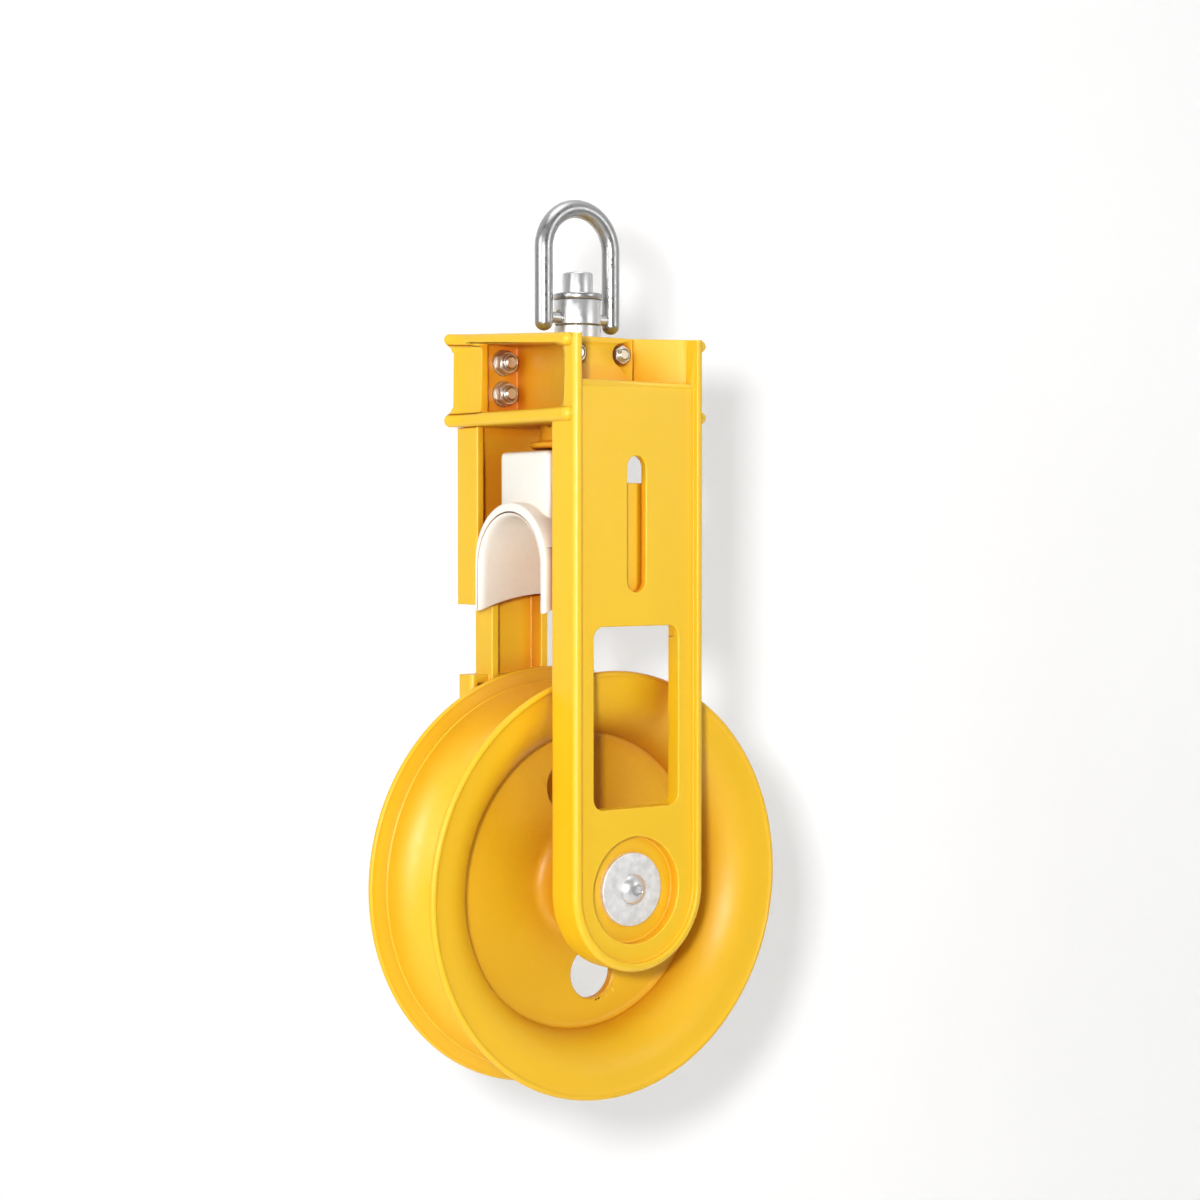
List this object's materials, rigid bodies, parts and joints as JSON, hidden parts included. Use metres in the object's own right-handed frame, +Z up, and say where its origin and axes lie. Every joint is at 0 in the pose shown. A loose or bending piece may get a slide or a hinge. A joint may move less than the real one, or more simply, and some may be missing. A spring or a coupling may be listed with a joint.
{
  "type": "cable stringing sheave",
  "caption": "Hanging sheave for stringing cable: a deep grooved yellow wheel between moulded straps, with a sliding cable guide above it and a stainless swivel eye.",
  "frame": {"origin": "inside of the crown of the swivel eye's bow, from which the sheave hangs", "axes": "+Z up along the swivel's axis, +X along the cable that runs over the wheel and across the eye, +Y along the axle from the front strap to the rear one"},
  "size_m": [0.2, 0.0991, 0.4208],
  "materials": {
    "yellow_plastic": "moulded polyamide, satin",
    "white_plastic": "moulded natural polymer, satin",
    "stainless": "satin stainless steel",
    "stainless_polished": "polished stainless steel",
    "zinc_steel": "bright zinc",
    "steel_axle": "ground steel",
    "dark_bushing": "self lubricating bushing"
  },
  "bodies": {
    "eye": {"eye_bow": "stainless", "eye_pins": "stainless"},
    "swivel": {"swivel_head": "stainless"},
    "frame": {"swivel_washer": "stainless_polished", "swivel_bolt": "stainless", "swivel_nut": "stainless", "swivel_thrust_ring": "dark_bushing", "swivel_base": "stainless", "clamp_block": "yellow_plastic", "clamp_studs": "zinc_steel", "clamp_nuts": "zinc_steel", "main_frame": "yellow_plastic", "rear_strap": "yellow_plastic", "strap_bolts": "zinc_steel", "strap_washers": "zinc_steel", "strap_nuts": "zinc_steel", "axle": "steel_axle", "axle_screw_front": "stainless", "axle_screw_rear": "stainless", "axle_washer_front": "stainless_polished", "axle_washer_rear": "stainless_polished", "thrust_washer_front": "white_plastic", "thrust_washer_rear": "white_plastic"},
    "sheave": {"sheave_wheel": "yellow_plastic", "hub_bush_front": "dark_bushing", "hub_bush_rear": "dark_bushing"},
    "guide": {"guide_shoe": "white_plastic", "guide_slide_front": "yellow_plastic", "guide_slide_rear": "yellow_plastic", "guide_screws": "zinc_steel"}
  },
  "joints": [
    {"name": "eye_tilt", "type": "hinge", "parent": "eye", "child": "swivel", "pos_m": [0, 0, -0.0473], "axis": [1, 0, 0], "range_deg": [-85, 85]},
    {"name": "swivel_turn", "type": "hinge", "parent": "swivel", "child": "frame", "pos_m": [0, 0, -0.0508], "axis": [0, 0, 1], "continuous": true},
    {"name": "sheave_spin", "type": "hinge", "parent": "frame", "child": "sheave", "pos_m": [0, 0, -0.3123], "axis": [0, 1, 0], "continuous": true},
    {"name": "guide_slide", "type": "slide", "parent": "frame", "child": "guide", "axis": [0, 0, -1], "range_m": [0, 0.0305]}
  ]
}
